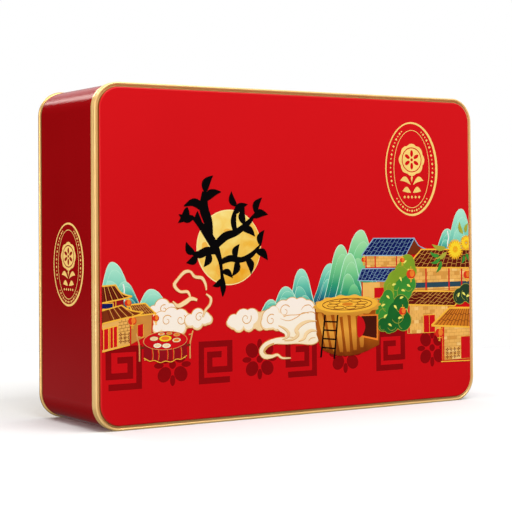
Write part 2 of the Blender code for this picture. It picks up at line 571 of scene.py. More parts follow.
# --------------------------------------------------------------------- moon
MX, MZ, MR = -54.9, 111.6, 24.3
moon_m, nt, bsdf, co = shader("ink_moon")
sep = nt.nodes.new("ShaderNodeSeparateXYZ")
nt.links.new(co.outputs["Object"], sep.inputs[0])
sx = nt.nodes.new("ShaderNodeMath"); sx.operation = "MULTIPLY_ADD"
sx.inputs[1].default_value = 9.0; sx.inputs[2].default_value = 0.62
nt.links.new(sep.outputs["X"], sx.inputs[0])
sz = nt.nodes.new("ShaderNodeMath"); sz.operation = "MULTIPLY_ADD"
sz.inputs[1].default_value = -11.0; sz.inputs[2].default_value = 1.62
nt.links.new(sep.outputs["Z"], sz.inputs[0])
add = nt.nodes.new("ShaderNodeMath"); add.operation = "ADD"
nt.links.new(sx.outputs[0], add.inputs[0]); nt.links.new(sz.outputs[0], add.inputs[1])
n1 = noise_node(nt, co, 95.0, 3.0, 0.55, 0.6)
mot = nt.nodes.new("ShaderNodeMath"); mot.operation = "MULTIPLY_ADD"
mot.inputs[1].default_value = 1.1; mot.inputs[2].default_value = -0.52
nt.links.new(n1.outputs["Fac"], mot.inputs[0])
tot = nt.nodes.new("ShaderNodeMath"); tot.operation = "ADD"
nt.links.new(add.outputs[0], tot.inputs[0]); nt.links.new(mot.outputs[0], tot.inputs[1])
mr_ = ramp_node(nt, [(0.0, rgb("#fbe694")), (0.4, rgb("#f8d36c")), (0.75, rgb("#f3b942")), (1.0, rgb("#efa526"))])
nt.links.new(tot.outputs[0], mr_.inputs["Fac"])
nt.links.new(mr_.outputs["Color"], bsdf.inputs["Base Color"])
bsdf.inputs["Roughness"].default_value = INK_ROUGH
bsdf.inputs["Specular IOR Level"].default_value = 0.05
MOON_EDGE = ink("ink_moon_edge", "#fae398", 1.0, 0.03)
moon = Print("print_moon")
moon.fill(ellipse(MX, MZ, MR, n=96), MOON_EDGE, 1)
moon.fill(ellipse(MX + 0.2, MZ, MR - 0.7, n=96), moon_m, 2)
MOON_SPOT = ink("ink_moon_spot", "#f3b446", 1.0, 0.05, 140.0)
for x, z, rx, rz in ((-42.5, 124.5, 3.6, 2.4), (-73.2, 112.6, 2.2, 3.0), (-62.0, 97.5, 3.0, 3.4), (-40.0, 100.5, 5.5, 4.2), (-55.5, 121.5, 3.6, 2.0)):
    moon.fill(smooth([(x + rx * math.cos(a) * (1 + 0.15 * math.sin(3 * a + x)),
                       z + rz * math.sin(a) * (1 + 0.15 * math.cos(2 * a + z))) for a in
                      [2 * math.pi * k / 12 for k in range(12)]], 3, True), MOON_SPOT, 3)
moon.done()

# ------------------------------------------------- ink-painted branch, black
branch = Print("print_branch")


def brush(pts, widths, mat=BLACK, lvl=5, pr=None):
    q = smooth([(p[0], p[1], w) for p, w in zip(pts, widths)], 7)
    (pr or branch).stroke([(a, b) for a, b, _ in q], [max(c * 1.22, 0.15) for _, _, c in q], mat, lvl)


def leaf(x, z, length, ang, w, mat=BLACK, lvl=6, pr=None, bend=0.16):
    a = math.radians(ang)
    left, right = [], []
    for k in range(13):
        t = k / 12.0
        ww = w * (math.sin(math.pi * min(1.0, t ** 0.75)) ** 0.9) / 2 + 0.03
        bx, bz = t * length, bend * length * math.sin(math.pi * t)
        for s, acc in ((1, left), (-1, right)):
            u, v = bx, bz + s * ww
            acc.append((x + u * math.cos(a) - v * math.sin(a), z + u * math.sin(a) + v * math.cos(a)))
    (pr or branch).strip(left, right, mat, lvl)


brush([(-60.0, 80.2), (-59.6, 86), (-60.6, 95), (-62.0, 104), (-65.5, 112), (-70.5, 119.5), (-76, 126), (-82.0, 131)],
      [0.5, 3.4, 1.8, 2.6, 4.6, 5.0, 3.6, 1.2])
brush([(-69.5, 118), (-70.5, 128), (-73.5, 137), (-72.8, 147.5)], [4.2, 5.2, 5.4, 3.0])
brush([(-66.0, 112), (-58, 118.5), (-49, 121.5), (-40, 127.5), (-34.5, 134)], [3.8, 4.6, 3.6, 3.0, 0.8])
brush([(-61.8, 102), (-54, 104.5), (-46, 103.4), (-38, 106.5), (-30.5, 113.5)], [2.6, 3.6, 3.0, 2.8, 0.7])
brush([(-64.4, 109), (-71, 109.6), (-77.5, 107.4), (-83.5, 108.6)], [2.8, 4.4, 4.0, 0.6])
brush([(-50, 121.0), (-51.5, 129), (-49.0, 138.5)], [2.4, 3.4, 1.0])
brush([(-73.0, 136), (-80.5, 140.5), (-88, 138.2)], [3.6, 4.4, 0.6])
for x, z, ln, an, wd in ((-73.0, 146.8, 12, 60, 5.0), (-73.0, 141.5, 13, 25, 4.8), (-85.5, 137.5, 11.5, -125, 4.6),
                         (-80.5, 131.0, 11, 170, 4.4), (-35.0, 133.5, 11, 62, 4.2), (-36.5, 131.0, 11, 8, 4.6),
                         (-43.5, 126.0, 11, 88, 4.4), (-45.0, 123.6, 10.5, -28, 4.2), (-31.5, 112.6, 10, 70, 4.0),
                         (-34.5, 109.2, 10.5, -35, 4.6), (-42.0, 105.0, 11, -72, 4.4), (-49.0, 103.8, 11, -110, 4.2),
                         (-50.5, 104.2, 9.5, 70, 4.0), (-49.3, 137.8, 10, 110, 4.0), (-50.0, 133.5, 10.5, 32, 4.2),
                         (-80.5, 107.6, 9.5, 128, 4.2), (-78.5, 107.0, 9.0, -150, 4.2), (-70.0, 109.2, 10, -112, 4.4),
                         (-60.6, 96.5, 9, -30, 3.6), (-60.4, 91.5, 8, -148, 3.4), (-75.5, 125.5, 9.5, 105, 4.2)):
    leaf(x, z, ln * 1.06, an, wd * 1.18)
branch.done()


# -------------------------------------------------------------------- hills
def hill_pts(xl, zl, xp, zp, xr, zr, sharp=0.5):
    q = [(xl, zl), (xl + (xp - xl) * 0.30, zl + (zp - zl) * 0.36),
         (xl + (xp - xl) * (0.62 + 0.1 * sharp), zl + (zp - zl) * 0.86), (xp, zp),
         (xp + (xr - xp) * (0.38 - 0.1 * sharp), zr + (zp - zr) * 0.86),
         (xp + (xr - xp) * 0.70, zr + (zp - zr) * 0.40), (xr, zr)]
    return smooth(q, 8)


def hill(pr, xl, zl, xp, zp, xr, zr, lvl, stops=HILL_STOPS, sharp=0.4, inner=True, tag=[0]):
    tag[0] += 1
    z0 = min(zl, zr)
    m = graded("ink_hill_%02d" % tag[0], z0, zp, stops)
    pr.fill(hill_pts(xl, zl, xp, zp, xr, zr, sharp), m, lvl)
    edge = hill_pts(xl, zl, xp, zp, xr, zr, sharp)
    pr.stroke(edge, 0.45, HILL_EDGE, lvl + 0.4)
    if inner:
        for k, (kx, kz, kr) in enumerate(((0.20, 0.84, 0.98), (0.30, 0.62, 0.74), (0.60, 0.42, 0.92))):
            z1 = z0 + (zp - z0) * kz
            m2 = graded("ink_hill_%02d%s" % (tag[0], "abc"[k]), z0 + 2, z1 + (zp - z0) * 0.10, stops)
            pts = hill_pts(xl + (xp - xl) * kx, zl, xp + (xr - xl) * (0.05, -0.08, 0.10)[k], z1,
                           xp + (xr - xp) * kr, zr, sharp)
            pr.fill(pts, m2, lvl + 0.5 + 0.22 * k)
            pr.stroke(pts, 0.18, HILL_EDGE, lvl + 0.55 + 0.22 * k)


HILL_EDGE = ink("ink_hill_edge", "#c6f0d4", 1.0, 0.05)
hills = Print("print_hills")
hill(hills, -150.0, 74, -138.9, 103.7, -122.5, 76, 2, PALE_STOPS)
hill(hills, -141.0, 74, -130.5, 91.5, -118.5, 74, 4, HILL_STOPS)
hill(hills, -124.5, 70, -111.9, 86.3, -95.5, 68, 3, PALE_STOPS)
hill(hills, -33.5, 66, -23.1, 76.9, -14.0, 66, 5, HILL_STOPS)
hill(hills, -24.5, 66, -11.5, 85.0, 2.5, 66, 4, HILL_STOPS)
hill(hills, -11.0, 66, 1.0, 96.4, 13.5, 66, 3, HILL_STOPS, 0.1)
hill(hills, 9.0, 72, 24.5, 99.5, 34.0, 72, 2, HILL_STOPS)
hill(hills, 18.0, 72, 33.5, 112.0, 48.0, 72, 3, GREEN_STOPS)
hill(hills, 28.0, 72, 50.5, 121.8, 66.5, 74, 4, GREEN_STOPS)
hill(hills, 26.0, 70, 41.0, 106.0, 53.0, 72, 5.5, GREEN_STOPS)
hill(hills, 113.5, 102, 126.5, 122.0, 139.0, 102, 2, HILL_STOPS)
hill(hills, 122.5, 100, 139.2, 136.1, 152.0, 104, 3, PALE_STOPS)
hills.stroke(smooth([(-131.4, 90.2), (-130.6, 86), (-131.4, 82.0), (-129.4, 78.6)], 6), 0.8, WHITE, 5.4)
hills.stroke(smooth([(126.4, 120.5), (127.4, 116), (126.4, 111.5), (127.2, 108)], 6), 0.8, WHITE, 4.4)
hills.done()

# ------------------------------------------------------------------- clouds
clouds = Print("print_clouds")


def cloud(circles, lvl, fill=None, swirl=()):
    clouds.fill(blob(circles, grow=0.42), TAN, lvl)
    clouds.fill(blob(circles), CREAM2, lvl + 0.4)
    clouds.fill(blob([(x - 0.25, z + 0.55, max(0.8, r - 0.6)) for x, z, r in circles]), fill or CREAM, lvl + 0.75)
    for x, z, r, a0, fl in swirl:
        sp = spiral(x, z, r, 1.15, a0, fl)
        clouds.stroke(sp, [0.5 * (1 - 0.6 * k / len(sp)) + 0.14 for k in range(len(sp))], TAN, lvl + 1.0)


cloud([(-104, 74.6, 5.6), (-110, 72.6, 3.6), (-98.2, 73.0, 4.2), (-104, 71, 5.0)], 6, None, [(-103, 73.6, 3.0, 1.2, 1)])
cloud([(-104.6, 66.4, 6.0), (-97.5, 69.0, 5.6), (-91, 67.5, 5.8), (-86.8, 65.8, 4.6), (-100, 62, 5), (-92, 61.6, 5), (-107.5, 62, 3.6)], 8, None,
      [(-101.0, 66.4, 3.8, 0.6, 1), (-91.0, 66.6, 3.8, 2.3, -1)])
cloud([(-84.0, 65.6, 4.2), (-78.4, 68.4, 4.8), (-73.6, 66.6, 4.4), (-79, 64, 4.2), (-70.8, 65.8, 3.0)], 10, None, [(-77.6, 67.6, 3.2, 0.8, 1)])
cloud([(-51.6, 63.6, 4.8), (-44.5, 65.6, 6.0), (-38, 66.0, 5.6), (-48, 61.0, 4.2), (-40.5, 61.2, 4.4), (-54.6, 63.0, 2.6)], 7, None,
      [(-42.6, 65.4, 4.2, 2.7, -1)])
cloud([(-33.5, 64.6, 4.6), (-29.0, 65.0, 4.6), (-32, 61.4, 4.2), (-36, 62.4, 3.8)], 6.4)
cloud([(-23.5, 64.2, 6.8), (-18.0, 62.4, 6.0), (-26.5, 61.8, 4.6), (-21.0, 68.0, 4.6)], 8, None, [(-23.2, 63.6, 4.0, 1.0, 1)])
cloud([(-13.5, 69.4, 6.8), (-6.5, 71.6, 6.2), (0.5, 71.4, 6.0), (6.0, 69.8, 5.8), (-9.5, 64.8, 7.2), (1.0, 64.0, 7.4), (9.5, 64, 5.0)], 7, None,
      [(-12.4, 69.0, 4.6, 0.6, 1)])
body_pts = smooth([(-19.5, 60.5), (-12, 65.5), (-2.0, 66.0), (10.5, 67), (14.0, 58.0), (12.5, 53.0), (14.0, 48.5),
                   (9.0, 46.2), (-1.0, 47.2), (-10, 47.6), (-18.0, 48.0), (-13.4, 50.6), (-12.4, 53.8), (-17.0, 56.5)], 7, True)
cx_, cz_ = 0.0, 56.0
clouds.fill([(cx_ + (p[0] - cx_) * 1.035, cz_ + (p[1] - cz_) * 1.05) for p in body_pts], TAN, 8.2)
clouds.fill(body_pts, CREAM, 8.8)
tail = smooth([(-4.0, 49.2, 3.6), (-12.0, 49.6, 4.4), (-20.5, 49.6, 3.4), (-27.5, 47.4, 3.4), (-30.6, 43.6, 3.6), (-28.2, 40.2, 3.0),
               (-23.0, 39.8, 1.8), (-18.5, 40.6, 1.2), (-14.8, 38.4, 0.9), (-8.0, 38.0, 0.3)], 7)
clouds.stroke([(a, b) for a, b, _ in tail], [max(0.5, c + 0.8) for _, _, c in tail], TAN, 9.0)
clouds.stroke([(a, b) for a, b, _ in tail], [max(0.2, c) for _, _, c in tail], CREAM, 9.5)
for line, wd in (([(13.0, 61.6), (6.5, 61.8), (0.5, 60.0), (-3.4, 56.6), (-2.4, 53.2), (-6.6, 50.4), (-13.0, 49.8)], 2.4),
                 ([(13.2, 55.0), (8.6, 55.6), (4.6, 53.8), (2.6, 50.6), (-1.8, 48.8)], 2.0),
                 ([(-17.6, 60.0), (-12.8, 57.8), (-9.6, 54.8), (-10.8, 52.0), (-14.6, 50.6)], 1.6),
                 ([(-21.0, 48.6), (-26.2, 46.6), (-28.8, 43.8), (-27.2, 41.6)], 1.1)):
    q = smooth(line, 7)
    ws = [0.25 + wd * math.sin(math.pi * k / (len(q) - 1)) for k in range(len(q))]
    clouds.stroke([(a, b - 0.25) for a, b in q], [w + 0.35 for w in ws], TAN, 9.6)
    clouds.stroke(q, ws, CREAM2, 9.9)
for line in ([(-16.0, 64.2), (-9.5, 62.6), (-3.0, 64.6), (2.0, 67.4), (7.0, 66.8)], [(0.5, 69.4), (3.4, 72.0), (7.6, 72.2), (10.2, 69.4)],
             [(12.0, 50.4), (8.4, 50.2), (6.0, 48.2)]):
    q = smooth(line, 7)
    clouds.stroke(q, [0.18 + 0.4 * math.sin(math.pi * k / (len(q) - 1)) for k in range(len(q))], TAN, 9.8)
# ribbon scroll
for pts, ws in (([(-84.0, 80.6), (-86.0, 84.0), (-91.6, 84.4), (-95.4, 88.4), (-93.0, 92.0), (-88.2, 96.4), (-83.8, 96.6), (-80.6, 93.4), (-75.4, 92.4), (-72.8, 88.4), (-72.2, 84.6)],
                 [0.8, 1.5, 1.4, 1.9, 1.5, 1.8, 1.3, 1.6, 1.8, 1.3, 0.5]),
                ([(-96.6, 78.4), (-93.0, 75.4), (-88.0, 77.2), (-83.6, 79.6), (-79.0, 78.6)], [0.4, 2.2, 2.6, 2.2, 1.2]),
                ([(-72.4, 82.2), (-69.0, 79.4), (-69.6, 75.4), (-73.0, 71.8), (-75.0, 67.6)], [0.6, 1.5, 1.4, 1.3, 0.8])):
    q = smooth([(p[0], p[1], w) for p, w in zip(pts, ws)], 6)
    clouds.stroke([(a, b) for a, b, _ in q], [c + 0.5 for _, _, c in q], TAN, 12)
    clouds.stroke([(a, b) for a, b, _ in q], [max(0.2, c) for _, _, c in q], CREAM2, 12.4)
clouds.done()

# ------------------------------------------------------------------- houses
houses = Print("print_houses")


def roof(tl, tr, br, bl, base, line, edge, n, lvl, rows=3, ew=0.9, lw=0.26):
    houses.fill([tl, tr, br, bl], base, lvl)
    for k in range(1, n):
        t = k / n
        houses.stroke([lerp(tl, tr, t), lerp(bl, br, t)], lw, line, lvl + 0.3)
    for k in range(1, rows):
        t = k / rows
        for j in range(n):
            t0, t1 = j / n, (j + 1) / n
            a, b = lerp(lerp(tl, bl, t), lerp(tr, br, t), t0), lerp(lerp(tl, bl, t), lerp(tr, br, t), t1)
            off = 0.40 * (1 if (j + k) % 2 else -1)
            houses.stroke([(a[0], a[1] + off), (b[0], b[1] + off)], lw * 0.75, line, lvl + 0.35)
    for a, b in ((tl, tr), (bl, br), (tl, bl), (tr, br)):
        houses.stroke([a, b], ew, edge, lvl + 0.6)


def bricks(x0, z0, x1, z1, base, mortar, rows, cols, lvl, lw=0.22):
    houses.fill([(x0, z0), (x1, z0), (x1, z1), (x0, z1)], base, lvl)
    bw, bh = (x1 - x0) / cols, (z1 - z0) / rows
    for r in range(rows):
        for c in range(cols):
            pick = random.random()
            if pick < 0.34:
                x = x0 + (c + (0.5 if r % 2 else 0.02)) * bw
                xe = min(x + bw, x1)
                houses.fill([(x, z0 + r * bh), (xe, z0 + r * bh), (xe, z0 + (r + 1) * bh), (x, z0 + (r + 1) * bh)],
                            BRICK_A if pick < 0.17 else BRICK_B, lvl + 0.15)
    for r in range(rows + 1):
        z = z0 + (z1 - z0) * r / rows
        houses.stroke([(x0, z), (x1, z)], lw, mortar, lvl + 0.3)
        if r < rows:
            for c in range(cols):
                x = x0 + (x1 - x0) * (c + (0.5 if r % 2 else 0.02)) / cols
                houses.stroke([(x, z), (x, z + (z1 - z0) / rows)], lw, mortar, lvl + 0.3)


def box(x0, z0, x1, z1, mat, lvl):
    houses.fill([(x0, z0), (x1, z0), (x1, z1), (x0, z1)], mat, lvl)


def frame_box(x0, z0, x1, z1, w, mat, lvl):
    for a, b in (((x0, z0), (x1, z0)), ((x1, z0), (x1, z1)), ((x1, z1), (x0, z1)), ((x0, z1), (x0, z0))):
        houses.stroke([a, b], w, mat, lvl)


# left: two-tier gate house with a side wing
houses.fill([(-147, 70), (-125.4, 71.5), (-126.6, 52.6), (-147, 49.0)], WALL_TAN, 8)
houses.fill([(-126.2, 71), (-110.8, 71), (-111.4, 58.6), (-120.8, 55.4), (-126.4, 52.8)], WALL_DEEP, 8)
for k in range(7):
    z = 55.2 + k * 2.0
    houses.stroke([(-134.8, z - 0.5), (-126.6, z + 0.4)], 0.28, MORTAR, 8.4)
for k in range(4):
    for j in range(3):
        x = -133.8 + 2.6 * j + (1.2 if k % 2 else 0)
        houses.stroke([(x, 61.0 + 2.0 * k), (x, 62.9 + 2.0 * k)], 0.26, MORTAR, 8.4)
for k in range(3):
    for j in range(3):
        petals(houses, -133.3 + 2.9 * j, 54.9 + 2.2 * k, 4, 0.2, 1.25, 0.7, ROOF_BROWN, 8.5, 45 * (k % 2), 8)
houses.fill([(-147, 50.0), (-135.6, 52.0), (-135.6, 64.6), (-147, 62.6)], RED_INK, 8.6)
for x, dz in ((-145.0, 0.3), (-141.6, 0.9), (-140.7, 1.1), (-138.4, 1.5), (-135.6, 2.0)):
    houses.stroke([(x, 50.0 + dz), (x, 62.7 + dz)], 0.55, EDGE, 9)
houses.stroke([(-147, 62.8), (-135.4, 64.8)], 0.6, EDGE, 9)
houses.stroke([(-147, 49.2), (-127.0, 52.6)], 0.7, EDGE, 9)
houses.stroke([(-126.4, 71), (-126.6, 52.6)], 0.9, RED_INK, 9)
houses.fill([(-121.6, 56.2), (-117.6, 57.6), (-117.6, 65.2), (-121.6, 64.6)], RED_INK, 8.7)
frame_box(-121.6, 56.8, -117.6, 64.8, 0.3, EDGE, 8.9)
houses.stroke([(-111.2, 70.6), (-111.6, 59)], 0.8, RED_INK, 9)
roof((-127.5, 77.2), (-116.2, 77.8), (-109.0, 71.2), (-123.5, 70.2), ROOF_BROWN, ROOF_LINE, EDGE, 8, 9)
houses.fill([(-147, 80), (-131.4, 81.6), (-131.0, 76.6), (-147, 74.0)], RED_DEEP, 9)
box(-147, 75.0, -138.4, 79.0, NAVY, 9.4)
frame_box(-146.6, 75.2, -138.4, 78.8, 0.6, EDGE, 9.6)
houses.stroke([(-136.6, 80.4), (-136.6, 76.6)], 0.5, EDGE, 9.5)
r2 = [(-147, 74.3), (-132.6, 77.1)] + smooth([(-132.6, 77.1), (-129.0, 75.0), (-124.6, 73.4), (-117.9, 72.2)], 5)[1:] + [(-122.6, 70.4), (-134, 68.6), (-147, 66.2)]
houses.fill(r2, ROOF_BROWN, 10)
for k in range(11):
    t = k / 10.5
    a = lerp((-147, 74.2), (-131.4, 76.6), t)
    b = lerp((-147, 66.4), (-122.4, 70.6), t)
    houses.stroke([a, lerp(a, b, 0.55), b], 0.42, ROOF_RED if k % 2 else ROOF_LINE, 10.3)
houses.stroke(smooth([(-147, 66.2), (-134, 68.6), (-122.6, 70.4), (-117.7, 72.3)], 5), 0.9, EDGE, 10.6)
houses.stroke([(-147, 74.3), (-132.6, 77.2)], 0.8, EDGE, 10.6)
houses.stroke(smooth([(-132.8, 77.2), (-129.0, 75.0), (-124.6, 73.4), (-117.7, 72.3)], 5), 0.9, EDGE, 10.6)
r1 = [(-147, 89.1), (-136.7, 89.6)] + smooth([(-136.7, 89.6), (-134.2, 86.0), (-130.6, 83.6), (-125.6, 82.5)], 5)[1:] + [(-131, 81.2), (-147, 79.0)]
houses.fill(r1, ROOF_RED, 11)
for k in range(9):
    t = k / 8.6
    a = lerp((-147, 89.1), (-136.6, 89.3), t)
    b = lerp((-147, 79.3), (-129.6, 81.6), t)
    houses.stroke([a, b], 0.42, ROOF_BROWN if k % 2 else ROOF_LINE, 11.3)
houses.stroke([(-147, 89.2), (-136.6, 89.7)], 0.9, EDGE, 11.6)
houses.stroke(smooth([(-136.7, 89.8), (-134.2, 86.1), (-130.6, 83.7), (-125.4, 82.5)], 5), 0.9, EDGE, 11.6)
houses.stroke([(-147, 79.0), (-131, 81.2), (-125.4, 82.4)], 0.9, EDGE, 11.6)

# middle: navy-roofed two-tier hall
bricks(53.6, 95.6, 90.0, 104.4, WALL_TAN, WALL_DEEP, 4, 8, 6)
for x in (54.4, 62.2, 80.6, 86.4):
    houses.stroke([(x, 95.6), (x, 104.2)], 1.0, RED_INK, 6.6)
houses.stroke([(53.6, 96.0), (88, 96.0)], 0.7, RED_INK, 6.7)
roof((61.0, 116.0), (96.5, 115.7), (88.6, 103.8), (50.5, 104.5), NAVY, NAVY_LINE, NAVY_LINE, 11, 7, 4, 0.7, 0.24)
houses.fill([(96.5, 115.7), (102.0, 107.4), (106.5, 105.0), (90.0, 104.2)], ROOF_BROWN, 6.8)
houses.stroke(smooth([(96.3, 115.8), (100.4, 110.6), (107.2, 107.8)], 5), 0.7, NAVY_LINE, 7.4)
houses.fill([(50.6, 86.0), (80, 86.0), (80, 74.5), (50.6, 74.5)], WALL_DEEP, 6)
houses.fill([(51.4, 85.8), (66, 85.8), (66, 75.0), (51.4, 75.0)], WALL_TAN, 6.3)
houses.stroke([(50.9, 86.5), (50.9, 75.2)], 1.0, RED_INK, 6.7)
box(61.2, 75.0, 70.6, 82.2, RED_INK, 6.6)
frame_box(61.2, 75.0, 70.6, 82.2, 0.35, EDGE, 6.8)
roof((50.8, 95.4), (88.4, 95.0), (79.0, 86.0), (47.2, 87.6), NAVY, NAVY_LINE, NAVY_LINE, 11, 7.4, 4, 0.7, 0.24)

# right: tall red-roofed house
bricks(93.6, 78.6, 147, 94.6, WALL_TAN, WALL_DEEP, 6, 11, 7)
box(96.0, 81.0, 147, 84.6, TEALBAND, 7.5)
for x in (94.6, 106.6, 127.4, 139.0):
    houses.stroke([(x, 78.4), (x, 94.4)], 1.2, RED_INK, 7.7)
houses.stroke([(93.6, 79.8), (147, 79.4)], 0.8, WALL_DEEP, 7.8)
roof((102.7, 107.8), (147, 107.2), (147, 94.0), (88.9, 95.4), ROOF_RED, ROOF_LINE, EDGE, 13, 8.4, 4, 1.0, 0.30)
bricks(89.6, 49.4, 126.0, 70.0, WALL_TAN, WALL_DEEP, 9, 9, 7)
houses.stroke([(91.0, 49.6), (91.0, 69.6)], 1.4, RED_INK, 7.6)
box(104.0, 49.4, 114.4, 61.8, RED_INK, 7.6)
frame_box(104.0, 49.4, 114.4, 61.8, 0.4, EDGE, 7.8)
houses.stroke([(109.2, 49.4), (109.2, 61.8)], 0.3, EDGE, 7.8)
roof((95.5, 78.9), (142.4, 77.2), (132.2, 67.2), (79.2, 70.2), ROOF_RED, ROOF_LINE, EDGE, 13, 8.8, 4, 1.0, 0.30)
bricks(120.6, 29.4, 147, 53.2, WALL_TAN, WALL_DEEP, 10, 6, 9.4)
box(119.6, 29.2, 122.4, 53.4, RED_INK, 9.9)
houses.stroke([(121.0, 29.2), (121.0, 53.2)], 0.3, EDGE, 10)
box(137.8, 29.6, 147, 45.2, RED_INK, 9.9)
frame_box(137.8, 29.6, 147.5, 45.2, 0.45, EDGE, 10)
houses.stroke([(141.6, 29.6), (141.6, 45.2)], 0.3, EDGE, 10)
for k in range(3):
    for j in range(4):
        petals(houses, 125.2 + 3.4 * j, 31.4 + 2.6 * k, 4, 0.2, 1.4, 0.8, ROOF_BROWN, 9.9, 45 * (k % 2), 8)
houses.stroke([(119.4, 28.4), (147, 27.8)], 0.7, EDGE, 10.2)
roof((127.4, 66.0), (147, 65.4), (147, 51.6), (111.1, 54.2), ROOF_ORANGE, ROOF_BROWN, EDGE, 11, 10.4, 3, 1.3, 0.5)
houses.done()

# ---------------------------------------------------- shrubs and leafy trees
shrubs = Print("print_shrubs")
for circles, m, lvl in (
        ([(90, 98, 6.4), (86, 92, 7.0), (93, 93, 5.0)], GREEN_L, 9.0),
        ([(80, 86, 7.6), (75.5, 82.5, 6.0), (84.5, 90, 6.2)], GREEN_L, 9.3),
        ([(86, 80, 8.0), (91.0, 84, 6.2), (84, 74, 6.4)], GREEN_M, 9.6),
        ([(72.0, 71, 6.8), (68.6, 65.0, 6.2), (73, 76, 4.6)], GREEN_M, 9.8),
        ([(81, 64, 8.4), (76, 57.6, 6.4), (86.0, 58.6, 6.8), (84, 70, 6.6)], GREEN_D, 10.2),
        ([(68.4, 56.6, 4.6), (73.6, 54.8, 4.2)], GREEN_D, 10.1),
        ([(137, 74.0, 5.6), (142.6, 76.4, 6.2), (147, 74, 5.4)], GREEN_X, 9.6)):
    shrubs.fill(blob(circles, grow=0.35), OLIVE, lvl)
    shrubs.fill(blob(circles), m, lvl + 0.2)
    for x, z, r in circles:
        a0 = 60 + 37 * (int(x * 7 + z * 3) % 5)
        shrubs.stroke(ellipse(x, z - r * 0.2, r * 0.62, None, 14, a0, a0 + 120), 0.32, OLIVE, lvl + 0.3)
for x, z, an in ((88, 98.5, 30), (91.6, 94, -20), (84.6, 89, -60), (78, 83.5, 12), (86, 80, -15), (91, 83.6, -30), (73, 76.5, -40),
                 (68.6, 69.4, 20), (79.4, 69.6, -45), (83, 60.4, 10), (70.6, 61.4, 35), (74.4, 57.0, -30), (88, 64.6, 40), (84.6, 74.2, 15),
                 (141.0, 76.6, -40), (136.8, 73.4, 60), (144.6, 73.6, 10)):
    leaf(x - 1.5, z, 3.6, an, 1.5, FLECK, 10.8, shrubs, 0.05)
shrubs.done()

# ------------------------------------------------ giant cake with its ladder
cake = Print("print_cake")
CAKE_TOP = graded("ink_cake_top", 60, 80, [(0.0, rgb("#c87a1e")), (0.5, rgb("#e2a23a")), (1.0, rgb("#eebb58"))])
CAKE_SIDE = graded("ink_cake_side", 38, 72, [(0.0, rgb("#7c3208")), (0.5, rgb("#b45c12")), (1.0, rgb("#8e3e0a"))], wobble=0.2, scale=120.0)
CAKE_GLOW = graded("ink_cake_glow", 38, 72, [(0.0, rgb("#a85008")), (0.5, rgb("#eca23c")), (1.0, rgb("#b8640f"))], wobble=0.1)
FILLING = ink("ink_filling", "#4a150a", 1.0, 0.1)
CX, CZ = 38.4, 72.0
side = [(11.6, 71)] + smooth([(11.6, 71), (12.2, 58), (15.0, 46), (18.8, 41.4)], 5)[1:] + \
    smooth([(18.8, 41.4), (30, 37.6), (44, 37.2), (55, 39.6)], 6)[1:] + [(65.0, 43.2), (65.8, 70)]
cake.fill(side, CAKE_SIDE, 10)
for k in range(6):
    t0 = k / 6.0
    xt0, xt1 = 12.6 + 40.5 * t0, 12.6 + 40.5 * (t0 + 1 / 6.0)
    xb0, xb1 = 18.4 + 34.6 * t0, 18.4 + 34.6 * (t0 + 1 / 6.0)
    zb = 41.2 - 3.4 * math.sin(math.pi * (t0 + 0.08))
    mid_t, mid_b = (xt0 + xt1) / 2, (xb0 + xb1) / 2
    wt, wb = (xt1 - xt0) * 0.30, (xb1 - xb0) * 0.28
    cake.fill(smooth([(mid_t - wt, 64.0), (mid_t, 66.6), (mid_t + wt, 64.0), (mid_b + wb, zb + 4.0), (mid_b, zb + 2.0), (mid_b - wb, zb + 4.0)], 5, True), CAKE_GLOW, 10.4)
rim_pts = [(CX + (27.6 + 0.9 * math.cos(14 * a)) * math.cos(a), CZ - 1.2 + (7.0 + 0.6 * math.cos(14 * a)) * math.sin(a))
           for a in [2 * math.pi * k / 168 for k in range(168)]]
cake.fill(rim_pts, CAKE_TOP, 10.8)
cake.fill(ellipse(CX, CZ - 0.2, 25.4, 5.6, 64), EDGE, 11.2)
cake.fill(ellipse(CX, CZ - 0.2, 24.4, 5.0, 64), CAKE_TOP, 11.4)
cake.stroke(ellipse(CX, CZ - 0.2, 20.6, 3.9, 48), 0.5, ROOF_BROWN, 11.7, True)
for k in range(8):
    a = 2 * math.pi * k / 8 + 0.2
    petal = ellipse(CX + 12.6 * math.cos(a), CZ - 0.2 + 2.5 * math.sin(a), 4.4, 0.95, 20)
    cake.stroke(petal, 0.4, ROOF_BROWN, 11.7, True)
cake.fill(ellipse(CX, CZ - 0.2, 4.6, 1.1, 24), ROOF_ORANGE, 11.8)
cake.fill([(49.4, 64.2), (64.2, 64.0), (64.0, 46.0), (49.6, 49.2)], ORANGE, 11.0)
cake.fill([(50.0, 63.2), (63.0, 63.0), (62.8, 47.6), (50.2, 50.2)], FILLING, 11.3)
cake.fill(smooth([(46.6, 62.6), (50.8, 62.0), (53.2, 56.4), (51.0, 50.6), (46.8, 49.6)], 5, True), RED_INK, 11.5)
for a, b in (((19.8, 65.4), (16.3, 37.2)), ((30.2, 64.8), (27.2, 35.6))):
    cake.stroke([a, b], 1.25, BLACK, 12.2)
for t in (0.16, 0.36, 0.56, 0.77):
    a, b = lerp((19.8, 65.4), (16.3, 37.2), t), lerp((30.2, 64.8), (27.2, 35.6), t)
    cake.stroke([(a[0] - 0.3, a[1]), b], 1.0, BLACK, 12.2)
cake.done()

